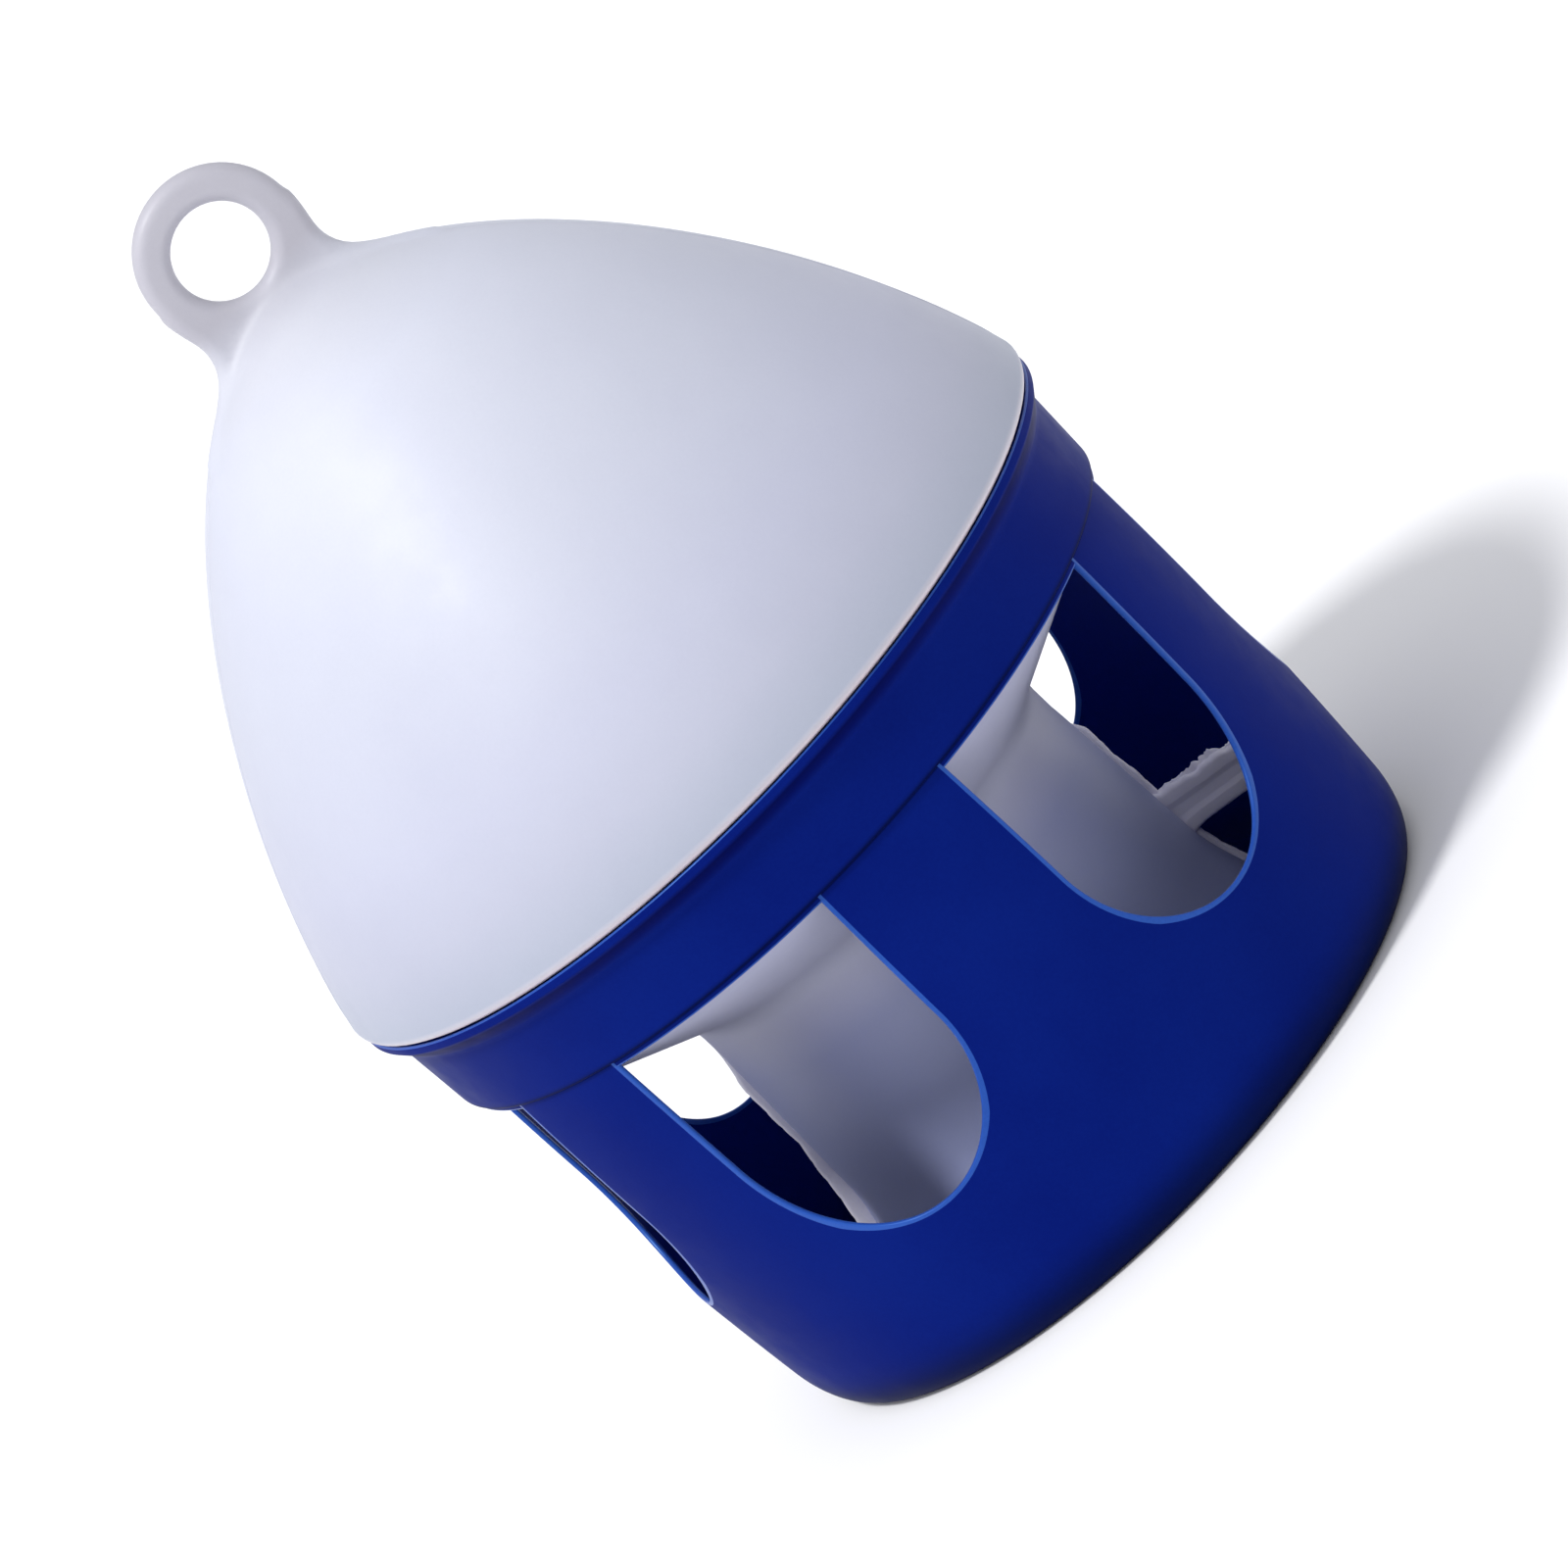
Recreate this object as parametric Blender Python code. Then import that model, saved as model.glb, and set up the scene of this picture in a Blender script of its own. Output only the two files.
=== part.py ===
"""Pigeon and poultry drinker, about 4 litres: a blown white reservoir with a hanging ring stands
neck-down in a moulded blue bowl, and birds drink through six windows in the bowl's wall.

Metres, +Z up. The origin is the middle of the bowl's flat underside, and the axis of the whole
drinker is Z. Angles round that axis are bearings: 0 faces -Y and 90 faces +X. Each moulding is cut
into its own working regions, which meet with a small gap.
"""

import bpy
import bmesh
from math import asin, cos, degrees, hypot, pi, radians, sin, sqrt, tan
from mathutils import Vector

GAP = 0.0003  # between regions that meet
TURN_STEPS = 48  # facets round a full turn

# Reservoir
WALL = 0.0016
DOME_RADIUS = 0.1003
DOME_WIDEST_Z = 0.1355
DOME_TOP_Z = 0.2550
DOME_TOP_PULL = 0.0360  # how far the crown stays level before it falls
DOME_SIDE_PULL = (0.0154, 0.0590)  # how the side leans in above its widest line
DOME_EDGE_RADIUS = 0.0035
DOME_LIP = 0.0015  # how far the dome's inner edge stays back from its outer one
SKIRT_RADIUS = 0.0914
SKIRT_BOTTOM_Z = 0.107
SHOULDER_SLOPE = radians(29)
SHOULDER_CORNER = 0.003
NECK_TOP_RADIUS = 0.051
NECK_FILLET = 0.008
NECK_TOP_Z = 0.0778
NECK_LOW_RADIUS = 0.053
NECK_FLARE_Z = 0.031
NECK_FLARE_BEND = 1.5  # 1 would flare straight, and more than 1 curves out
MOUTH_RADIUS = 0.0575
MOUTH_Z = 0.0125
MOUTH_RIM_HEIGHT = 0.0037
MOUTH_RIM_WIDTH = 0.0032
MOUTH_RIM_BULGE = 0.0012  # how far the bead stands out past the mouth
MOUTH_RIM_EASE = 0.0008
OUTLET_WIDTH = 0.020
OUTLET_TOP_Z = 0.028
OUTLET_BEARING = 150
OUTLET_CUT_DEPTH = 0.030
SEAM_THICK = 0.0014
SEAM_WIDTH = 0.0022
SEAM_LEAST = 0.0004
SEAM_CUT = 0.002  # height of the slanting cut at a seam's top
SEAM_RIGHT_TOP_Z = 0.066
SEAM_LEFT_TOP_Z = 0.045
SEAM_LEFT_SPREAD = 0.11  # how fast the left seam widens as it goes down

# Hanging ring, in the X-Z plane
RING_Z = 0.2711
RING_HOLE_RADIUS = 0.01065
RING_RADIUS = 0.0187
RING_THICK = 0.0062
RING_STEPS = 48
RING_SIDES = 10
RING_WAIST_Z = 0.2616
RING_WAIST = 0.0174
RING_FOOT_Z = 0.243
RING_FLARE = 24.0  # how fast the foot widens below the waist, per metre
RING_FINENESS = 0.0001  # how closely the foot's outline is followed

# Wing that locks the reservoir in the bowl, on bearing 90
WING_ROOT_TOP_Z = 0.0412
WING_HEIGHT = 0.0106
WING_TIP_RADIUS = 0.085
WING_SLOPE = radians(11)
WING_FLANGE = 0.0024
WING_THICK = 0.0050
WING_WEB_THICK = 0.0032
WING_ROOT_GAP = 0.0009  # clear of the neck's fin
CATCH_BEARINGS = (58, 70)
CATCH_STOP_BEARING = 61
CATCH_Z = (0.0370, 0.0410)
CATCH_STOP_Z = 0.027
CATCH_RADIUS = 0.0805
CATCH_GAP = 0.0005  # from the bowl's wall

# Bowl
BOWL_WALL = 0.0012
RIM_RADIUS = 0.100
RIM_TOP_Z = 0.1317
RIM_EDGE = 0.0016
RIM_EASE = 0.0004
RIM_LIP = 0.0024  # width of the rim's flat top
RIM_ROOT = (0.0008, 0.0020)  # where the flare's curve begins, out from and above the collar
COLLAR_TOP_Z = 0.1243
COLLAR_TOP_RADIUS = 0.0962
COLLAR_LOW_RADIUS = 0.0954
COLLAR_LOW_Z = 0.1086
COLLAR_CORNER = 0.0008
STEP_Z = 0.1071
WALL_TOP_RADIUS = 0.0944
WALL_LOW_RADIUS = 0.0901
WINDOWS = 6
WINDOW_BEARING = -26
WINDOW_TOP_HALF = 0.0299
WINDOW_SPRING_HALF = 0.0290
WINDOW_SPRING_Z = 0.0716
WINDOW_SILL_Z = 0.0391
WINDOW_TOP_Z = 0.1055
WINDOW_MEET = 0.0004  # how far above the sills the pillars' feet end
ARCH_ANGLES = (20, 38, 54, 67, 78, 90)  # where an arch's curve is cut into facets
CORNER_HIGH = 0.0125
BASE_RADIUS = 0.0836
FLOOR_THICK = 0.002

WHITE = ("reservoir_polyethylene", (0.80, 0.82, 0.88), 0.38)
BLUE = ("bowl_polypropylene", (0.010, 0.028, 0.30), 0.34)


def clear_scene():
    for obj in list(bpy.data.objects):
        bpy.data.objects.remove(obj, do_unlink=True)


def plastic(kind, name):
    """Moulded plastic of one sub-part, in its moulding's colour."""
    label, colour, roughness = kind
    material = bpy.data.materials.new(f"{label}_{name}")
    material.use_nodes = True
    shader = material.node_tree.nodes["Principled BSDF"]
    shader.inputs["Base Color"].default_value = (*colour, 1)
    shader.inputs["Roughness"].default_value = roughness
    shader.inputs["Metallic"].default_value = 0
    return material


def place(bm, name, kind, parent=None):
    """Turn a finished bmesh into a named object with its normals out and its curves smooth."""
    bmesh.ops.remove_doubles(bm, verts=bm.verts, dist=1e-6)
    bmesh.ops.recalc_face_normals(bm, faces=bm.faces)
    mesh = bpy.data.meshes.new(name)
    bm.to_mesh(mesh)
    bm.free()
    mesh.shade_smooth()
    mesh.set_sharp_from_angle(angle=radians(35))
    obj = bpy.data.objects.new(name, mesh)
    bpy.context.scene.collection.objects.link(obj)
    if kind:
        mesh.materials.append(plastic(kind, name))
    obj.parent = parent
    return obj


def helper(obj):
    """Keep an object that only cuts or joins out of the finished part."""
    obj.hide_render = True
    obj.display_type = "WIRE"
    return obj


def combine(obj, other, operation):
    change = obj.modifiers.new(other.name, "BOOLEAN")
    change.operation = operation
    change.object = other


def turned(name, outline, kind, parent=None):
    """Spin an outline of (radius, height) points round Z. An outline that starts and ends on the
    axis stays open there, and any other outline closes on itself."""
    bm = bmesh.new()
    points = [bm.verts.new((radius, 0, height)) for radius, height in outline]
    edges = [bm.edges.new(pair) for pair in zip(points, points[1:])]
    if outline[0][0] or outline[-1][0]:
        edges.append(bm.edges.new((points[-1], points[0])))
    bmesh.ops.spin(
        bm, geom=points + edges, cent=(0, 0, 0), axis=(0, 0, 1), angle=2 * pi,
        steps=TURN_STEPS, use_merge=True,
    )
    return place(bm, name, kind, parent)


def bearing(angle, radius, height):
    """The point at a bearing in degrees, a distance from the axis and a height."""
    return Vector((radius * sin(radians(angle)), -radius * cos(radians(angle)), height))


def arc(centre, radius, start, end, steps):
    """Points on an arc in the outline's plane, between two angles in degrees."""
    angles = [radians(start + (end - start) * i / steps) for i in range(steps + 1)]
    return [(centre[0] + radius * cos(a), centre[1] + radius * sin(a)) for a in angles]


def offset(outline, distance):
    """The same outline moved sideways, to its right as it runs."""
    moved = []
    for i, (r, z) in enumerate(outline):
        before = outline[max(i - 1, 0)]
        after = outline[min(i + 1, len(outline) - 1)]
        along = (after[0] - before[0], after[1] - before[1])
        size = hypot(*along)
        moved.append((r - distance * along[1] / size, z + distance * along[0] / size))
    return moved


def shell(outline, thickness):
    """A wall of even thickness inside an outline that runs down its outer side."""
    return outline + offset(outline, -thickness)[::-1]


def dome_curve(steps, inset=0.0):
    """The dome's outer side from the crown to its widest line, moved in by an inset."""
    top = Vector((0, DOME_TOP_Z - inset))
    side = Vector((DOME_RADIUS - inset, DOME_WIDEST_Z))
    level = top + Vector((DOME_TOP_PULL, 0))
    lean = side + Vector((-DOME_SIDE_PULL[0], DOME_SIDE_PULL[1]))
    points = []
    for i in range(steps + 1):
        t = i / steps
        u = 1 - t
        at = u**3 * top + 3 * u * u * t * level + 3 * u * t * t * lean + t**3 * side
        points.append((at.x, at.y))
    return points


def make_dome(parent):
    """The domed shell, which turns under at its lower edge and runs in to the skirt."""
    edge_centre = (DOME_RADIUS - DOME_EDGE_RADIUS, DOME_WIDEST_Z)
    outer = dome_curve(12) + arc(edge_centre, DOME_EDGE_RADIUS, -30, -90, 2)
    floor_z = DOME_WIDEST_Z - DOME_EDGE_RADIUS
    ledge = SKIRT_RADIUS - WALL
    inner_edge = (DOME_RADIUS - WALL - DOME_LIP, floor_z + WALL)
    inner = [(ledge, floor_z), (ledge, floor_z + WALL), inner_edge] + dome_curve(10, WALL)[::-1]
    return turned("reservoir_dome", outer + inner, WHITE, parent)


def make_skirt(parent):
    """The drum under the dome, which fits inside the bowl's collar."""
    top = DOME_WIDEST_Z - DOME_EDGE_RADIUS - GAP
    inside = SKIRT_RADIUS - WALL
    outline = [(SKIRT_RADIUS, top), (SKIRT_RADIUS, SKIRT_BOTTOM_Z + GAP),
               (inside, SKIRT_BOTTOM_Z + GAP), (inside, top)]
    return turned("reservoir_skirt", outline, WHITE, parent)


def make_shoulder(parent):
    """The sloping underside, from the skirt in to the neck, with rounded corners."""
    slope = degrees(SHOULDER_SLOPE)
    corner = (SKIRT_RADIUS - SHOULDER_CORNER, SKIRT_BOTTOM_Z)
    outer = arc(corner, SHOULDER_CORNER, 0, slope - 90, 4)
    centre = (NECK_TOP_RADIUS + NECK_FILLET, NECK_TOP_Z)
    outer += arc(centre, NECK_FILLET, slope + 90, 180, 4)
    return turned("reservoir_shoulder", shell(outer, WALL), WHITE, parent)


def neck_radius(z):
    """The neck's outer radius at a height: it widens a little, then flares to its mouth."""
    if z > NECK_FLARE_Z:
        down = (NECK_TOP_Z - z) / (NECK_TOP_Z - NECK_FLARE_Z)
        return NECK_TOP_RADIUS + (NECK_LOW_RADIUS - NECK_TOP_RADIUS) * down
    down = (NECK_FLARE_Z - z) / (NECK_FLARE_Z - MOUTH_Z)
    return NECK_LOW_RADIUS + (MOUTH_RADIUS - NECK_LOW_RADIUS) * down**NECK_FLARE_BEND


def seam(name, side, top_z, width_at):
    """A thin fin of trimmed flash down one side of the neck, tapered in at its top."""
    bm = bmesh.new()
    low = MOUTH_Z + GAP
    heights = [top_z] + [low + (top_z - SEAM_CUT - low) * (1 - i / 4) for i in range(5)]
    rows = []
    for z in heights:
        reach = neck_radius(z) + (SEAM_LEAST / 2 if z == top_z else width_at(z))
        root = neck_radius(z) - WALL / 2
        half = SEAM_THICK / 2
        corners = ((root, -half), (reach, -half), (reach, half), (root, half))
        rows.append([bm.verts.new((side * x, y, z)) for x, y in corners])
    for above, below in zip(rows, rows[1:]):
        for i in range(4):
            j = (i + 1) % 4
            bm.faces.new((above[i], above[j], below[j], below[i]))
    bm.faces.new(rows[0])
    bm.faces.new(rows[-1][::-1])
    return helper(place(bm, name, None))


def make_neck(parent):
    """The wide neck, with the outlet notch that sets the water level and its two seam fins."""
    steps = 9
    fall = NECK_TOP_Z - GAP - MOUTH_Z
    heights = [NECK_TOP_Z - GAP - fall * (i / steps) for i in range(steps + 1)]
    outer = [(neck_radius(z), z) for z in heights]
    outline = outer + [(r - WALL, z) for r, z in outer[::-1]]
    neck = turned("reservoir_neck", outline, WHITE, parent)
    bm = bmesh.new()
    bmesh.ops.create_cube(bm, size=1)
    tall = 2 * (OUTLET_TOP_Z - MOUTH_Z)
    bmesh.ops.scale(bm, vec=(OUTLET_WIDTH, OUTLET_CUT_DEPTH, tall), verts=bm.verts)
    notch = helper(place(bm, "outlet_cutter", None))
    notch.location = bearing(OUTLET_BEARING, NECK_LOW_RADIUS, MOUTH_Z)
    notch.rotation_euler.z = radians(OUTLET_BEARING)
    right = seam("seam_right", 1, SEAM_RIGHT_TOP_Z, lambda z: SEAM_WIDTH)
    left = seam("seam_left", -1, SEAM_LEFT_TOP_Z,
                lambda z: SEAM_LEAST + SEAM_LEFT_SPREAD * (SEAM_LEFT_TOP_Z - z))
    combine(neck, right, "UNION")
    combine(neck, left, "UNION")
    combine(neck, notch, "DIFFERENCE")
    return neck


def make_mouth_rim(parent):
    """The thickened bead round the mouth of the neck."""
    top = MOUTH_Z - GAP
    bottom = top - MOUTH_RIM_HEIGHT
    outside = MOUTH_RADIUS + MOUTH_RIM_BULGE
    inside = outside - MOUTH_RIM_WIDTH
    ease = MOUTH_RIM_EASE
    outline = [(outside - ease, top), (outside, top - ease), (outside, bottom + ease),
               (outside - ease, bottom), (inside + ease, bottom), (inside, bottom + ease),
               (inside, top - ease), (inside + ease, top)]
    return turned("neck_mouth_rim", outline, WHITE, parent)


def make_wing(parent):
    """The wing beside the neck: a beam with a flange along its top and its bottom."""
    root = neck_radius(WING_ROOT_TOP_Z - WING_HEIGHT) + SEAM_WIDTH + WING_ROOT_GAP
    half = WING_THICK / 2
    web = WING_WEB_THICK / 2
    low = -WING_HEIGHT
    section = [(-half, 0), (half, 0), (half, -WING_FLANGE), (web, -WING_FLANGE),
               (web, low + WING_FLANGE), (half, low + WING_FLANGE), (half, low), (-half, low),
               (-half, low + WING_FLANGE), (-web, low + WING_FLANGE), (-web, -WING_FLANGE),
               (-half, -WING_FLANGE)]
    bm = bmesh.new()
    rows = []
    for x in (root, WING_TIP_RADIUS):
        drop = (x - root) * tan(WING_SLOPE)
        rows.append([bm.verts.new((x, y, WING_ROOT_TOP_Z + z - drop)) for y, z in section])
    for i in range(len(section)):
        j = (i + 1) % len(section)
        bm.faces.new((rows[0][i], rows[0][j], rows[1][j], rows[1][i]))
    bm.faces.new(rows[0])
    bm.faces.new(rows[1][::-1])
    return place(bm, "locking_wing", WHITE, parent)


def ring_reach(angle):
    """How far the ring's outer side is from the middle of its hole, at an angle from +X. Below the
    waist, the foot runs out and down into the dome."""
    if sin(angle) > (RING_WAIST_Z - RING_Z) / RING_RADIUS:
        return RING_RADIUS
    reach = RING_RADIUS
    while True:
        x = abs(reach * cos(angle))
        z = RING_Z + reach * sin(angle)
        below = RING_WAIST_Z - z
        if z <= RING_FOOT_Z or (below > 0 and x > RING_WAIST + RING_FLARE * below**2):
            return reach
        reach += RING_FINENESS


def make_ring(parent):
    """The flat hanging ring, rounded all over, whose foot meets the dome."""
    bm = bmesh.new()
    flat = cos(pi / RING_SIDES)  # a section's flats lie this far out for each unit of its corners
    rows = []
    for i in range(RING_STEPS):
        angle = 2 * pi * i / RING_STEPS
        reach = ring_reach(angle)
        middle = (RING_HOLE_RADIUS + reach) / 2
        half = (reach - RING_HOLE_RADIUS) / 2
        row = []
        for k in range(RING_SIDES):
            turn = 2 * pi * (k + 0.5) / RING_SIDES
            out = middle + half * cos(turn) / flat
            row.append(bm.verts.new((out * cos(angle), RING_THICK / 2 * sin(turn) / flat,
                                     RING_Z + out * sin(angle))))
        rows.append(row)
    for row, after in zip(rows, rows[1:] + rows[:1]):
        for k in range(RING_SIDES):
            m = (k + 1) % RING_SIDES
            bm.faces.new((row[k], row[m], after[m], after[k]))
    ring = place(bm, "hanging_ring", WHITE, parent)
    reach = dome_curve(12, -GAP)
    cutter = helper(turned("dome_clearance", reach + [(0, DOME_WIDEST_Z)], None))
    combine(ring, cutter, "DIFFERENCE")
    return ring


def wall_radius(z):
    """The outer radius of the bowl's wall, upright at the top and drawn in towards the base."""
    down = (STEP_Z - z) / (STEP_Z - CORNER_HIGH)
    return WALL_TOP_RADIUS - (WALL_TOP_RADIUS - WALL_LOW_RADIUS) * down**2


def window_half(z):
    """Half of a window's width at a height: straight sides above a half-round lower end."""
    if z >= WINDOW_SPRING_Z:
        up = (z - WINDOW_SPRING_Z) / (STEP_Z - WINDOW_SPRING_Z)
        return WINDOW_SPRING_HALF + (WINDOW_TOP_HALF - WINDOW_SPRING_HALF) * up
    down = min((WINDOW_SPRING_Z - z) / (WINDOW_SPRING_Z - WINDOW_SILL_Z), 1)
    return WINDOW_SPRING_HALF * sqrt(1 - down * down)


def make_rim():
    """The lip round the top of the bowl, which the dome's edge rests over."""
    inside = COLLAR_TOP_RADIUS - BOWL_WALL
    bottom = COLLAR_TOP_Z
    root = (COLLAR_TOP_RADIUS + RIM_ROOT[0], bottom + RIM_ROOT[1])
    outline = [(RIM_RADIUS - RIM_EASE, RIM_TOP_Z), (RIM_RADIUS, RIM_TOP_Z - RIM_EASE),
               (RIM_RADIUS, RIM_TOP_Z - RIM_EDGE), root, (COLLAR_TOP_RADIUS, bottom),
               (inside, bottom), (RIM_RADIUS - RIM_LIP, RIM_TOP_Z)]
    return turned("bowl_rim", outline, BLUE)


def make_collar():
    """The collar that the skirt drops into, and the ledge that steps in over the windows."""
    inside = COLLAR_LOW_RADIUS - BOWL_WALL
    ledge = WALL_TOP_RADIUS - BOWL_WALL
    outline = [(COLLAR_TOP_RADIUS, COLLAR_TOP_Z - GAP), (COLLAR_LOW_RADIUS, COLLAR_LOW_Z),
               (COLLAR_LOW_RADIUS - COLLAR_CORNER / 3, STEP_Z + COLLAR_CORNER / 3),
               (COLLAR_LOW_RADIUS - COLLAR_CORNER, STEP_Z),
               (WALL_TOP_RADIUS, STEP_Z), (WALL_TOP_RADIUS, WINDOW_TOP_Z), (ledge, WINDOW_TOP_Z),
               (ledge, STEP_Z + BOWL_WALL), (inside, STEP_Z + 2 * BOWL_WALL),
               (COLLAR_TOP_RADIUS - BOWL_WALL, COLLAR_TOP_Z - GAP)]
    return turned("bowl_collar", outline, BLUE)


def make_pillar(number):
    """One pillar between two windows, which spreads into the arches' feet."""
    middle = WINDOW_BEARING + (number - 0.5) * 360 / WINDOWS
    rows = []
    bm = bmesh.new()
    levels = [WINDOW_TOP_Z - GAP, WINDOW_SPRING_Z]
    arch = WINDOW_SPRING_Z - WINDOW_SILL_Z - WINDOW_MEET
    levels += [WINDOW_SPRING_Z - arch * sin(radians(a)) for a in ARCH_ANGLES]
    columns = 6
    for z in levels:
        radius = wall_radius(z)
        half = 180 / WINDOWS - degrees(asin(window_half(z) / radius))
        across = [middle + half * (2 * i / columns - 1) for i in range(columns + 1)]
        row = [bearing(a, radius, z) for a in across]
        row += [bearing(a, radius - BOWL_WALL, z) for a in across[::-1]]
        rows.append([bm.verts.new(p) for p in row])
    count = 2 * columns + 2
    for above, below in zip(rows, rows[1:]):
        for i in range(count):
            j = (i + 1) % count
            bm.faces.new((above[i], above[j], below[j], below[i]))
    for row in (rows[0], rows[-1]):
        for i in range(columns):
            bm.faces.new((row[i], row[i + 1], row[count - 2 - i], row[count - 1 - i]))
    return place(bm, f"bowl_pillar_{number}", BLUE)


def make_trough():
    """The unbroken lower wall that holds the drinking water."""
    top = WINDOW_SILL_Z - GAP
    bottom = CORNER_HIGH + GAP
    outline = [(wall_radius(top), top), (wall_radius(bottom), bottom)]
    inner = [(r - BOWL_WALL, z) for r, z in outline[::-1]]
    return turned("bowl_trough_wall", outline + inner, BLUE)


def base_curve(side, low, steps):
    """Points round the base's corner, from the wall's foot to level at the base's radius."""
    lean = 2 * (WALL_TOP_RADIUS - WALL_LOW_RADIUS) / (STEP_Z - CORNER_HIGH)
    high = CORNER_HIGH - low
    wide = side - BASE_RADIUS - lean * high
    points = []
    for i in range(steps + 1):
        angle = pi / 2 * i / steps
        drop = high * sin(angle)
        points.append((side - wide * (1 - cos(angle)) - lean * drop, CORNER_HIGH - drop))
    return points


def make_base_corner():
    """The rounded corner that turns the wall in to the floor."""
    side = wall_radius(CORNER_HIGH)
    outer = base_curve(side, 0, 7)
    inner = base_curve(side - BOWL_WALL, FLOOR_THICK, 6)
    return turned("bowl_base_corner", outer + inner[::-1], BLUE)


def make_floor():
    """The flat floor that the drinker stands on."""
    radius = BASE_RADIUS - GAP
    return turned("bowl_floor", [(0, FLOOR_THICK), (radius, FLOOR_THICK), (radius, 0), (0, 0)], BLUE)


def make_catch():
    """The catch inside the wall that the wing turns under, with the stop at its far end."""
    bm = bmesh.new()
    start, end = CATCH_BEARINGS
    low, high = CATCH_Z
    bearings = [start, CATCH_STOP_BEARING, (CATCH_STOP_BEARING + end) / 2, end]

    def outside(z):
        return wall_radius(z) - BOWL_WALL - CATCH_GAP

    def station(angle, bottom):
        corners = ((CATCH_RADIUS, bottom), (outside(bottom), bottom), (outside(low), low),
                   (outside(high), high), (CATCH_RADIUS, high), (CATCH_RADIUS, low))
        return [bm.verts.new(bearing(angle, r, z)) for r, z in corners]

    deep = [station(angle, CATCH_STOP_Z) for angle in bearings[:2]]
    for i in range(6):
        j = (i + 1) % 6
        bm.faces.new((deep[0][i], deep[0][j], deep[1][j], deep[1][i]))
    bm.faces.new(deep[0])
    bm.faces.new((deep[1][0], deep[1][1], deep[1][2], deep[1][5]))
    shallow = [[deep[1][k] for k in (5, 2, 3, 4)]]
    for angle in bearings[2:]:
        corners = ((CATCH_RADIUS, low), (outside(low), low), (outside(high), high),
                   (CATCH_RADIUS, high))
        shallow.append([bm.verts.new(bearing(angle, r, z)) for r, z in corners])
    for near, far in zip(shallow, shallow[1:]):
        for i in range(4):
            j = (i + 1) % 4
            bm.faces.new((near[i], near[j], far[j], far[i]))
    bm.faces.new(shallow[-1])
    return place(bm, "locking_catch", BLUE)


def make_axis(name):
    """An empty on the drinker's axis, which carries what lifts and turns together."""
    axis = bpy.data.objects.new(name, None)
    bpy.context.scene.collection.objects.link(axis)
    return axis


def main():
    clear_scene()
    lift = make_axis("lift_axis")
    turn = make_axis("turn_axis")
    turn.parent = lift
    make_mouth_rim(lift)
    make_dome(turn)
    make_ring(turn)
    make_skirt(turn)
    make_shoulder(turn)
    make_neck(turn)
    make_wing(turn)
    make_rim()
    make_collar()
    for number in range(1, WINDOWS + 1):
        make_pillar(number)
    make_trough()
    make_base_corner()
    make_floor()
    make_catch()


main()
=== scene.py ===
"""Pigeon and poultry drinker: a blown white reservoir with a hanging ring, standing neck-down in a
moulded blue bowl with six drinking windows. Metres, +Z up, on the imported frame's own axes.

Angles round the drinker's axis are bearings in degrees: 0 faces -Y and 90 faces +X.
"""

from math import cos, hypot, pi, radians, sin, tan

import bmesh
import bpy
import numpy as np
from mathutils import Matrix, Vector

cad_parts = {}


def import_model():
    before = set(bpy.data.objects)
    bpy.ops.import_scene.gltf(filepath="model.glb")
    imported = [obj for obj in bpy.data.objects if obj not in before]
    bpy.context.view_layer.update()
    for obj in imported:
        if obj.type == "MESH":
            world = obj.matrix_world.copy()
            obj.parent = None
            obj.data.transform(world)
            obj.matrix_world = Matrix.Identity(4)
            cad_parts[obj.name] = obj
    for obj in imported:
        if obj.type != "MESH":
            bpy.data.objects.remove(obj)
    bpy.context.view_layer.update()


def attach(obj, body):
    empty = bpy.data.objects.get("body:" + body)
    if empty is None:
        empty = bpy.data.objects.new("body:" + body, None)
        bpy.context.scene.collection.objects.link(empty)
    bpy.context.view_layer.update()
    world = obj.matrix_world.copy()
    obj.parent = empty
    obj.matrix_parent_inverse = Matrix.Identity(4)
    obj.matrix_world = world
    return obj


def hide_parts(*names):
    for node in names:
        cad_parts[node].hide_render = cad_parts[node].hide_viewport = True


WALL = 0.0016

# Reservoir
DOME_RADIUS = 0.1003
DOME_WIDEST_Z = 0.1355
DOME_TOP_Z = 0.2550
DOME_TOP_PULL = 0.0360
DOME_SIDE_PULL = (0.0154, 0.0590)
DOME_FLOOR_Z = 0.132
DOME_EDGE = (0.1008, 0.1335)  # the dome's lower edge, before it is rounded
DOME_UNDER_RADIUS = 0.0986  # where the edge has turned under to the dome's floor
DOME_INNER_RADIUS = 0.0975  # the same corner on the wall's inner side
SKIRT_RADIUS = 0.0914
SKIRT_FADE_Z = 0.1150  # where the skirt's straight side ends
SHOULDER_TOP = (0.0914, 0.1050)  # where the skirt's side meets the shoulder's slope
SHOULDER_SLOPE = radians(29)
NECK_TOP_RADIUS = 0.051
NECK_TOP_Z = 0.0778
NECK_LOW_RADIUS = 0.053
NECK_FLARE_Z = 0.031
MOUTH_RADIUS = 0.0575
MOUTH_Z = 0.0125
NECK_FLARE_BEND = 1.5  # 1 would flare straight, and more than 1 curves out
NECK_FOOT_Z = NECK_TOP_Z - 0.006  # where the shoulder's curve has ended
NECK_ROWS_Z = NECK_TOP_Z - 0.009  # the first of the neck's even rows
NECK_ROWS = 34
OUTLET_TOP_Z = 0.028
OUTLET_BEARING = 150
OUTLET_HALF_COLUMNS = 4
BEAD_GAP = 0.0003
BEAD_HEIGHT = 0.0037
BEAD_BULGE = 0.0012  # how far the bead stands out past the mouth
BEAD_WIDTH = 0.0032

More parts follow.
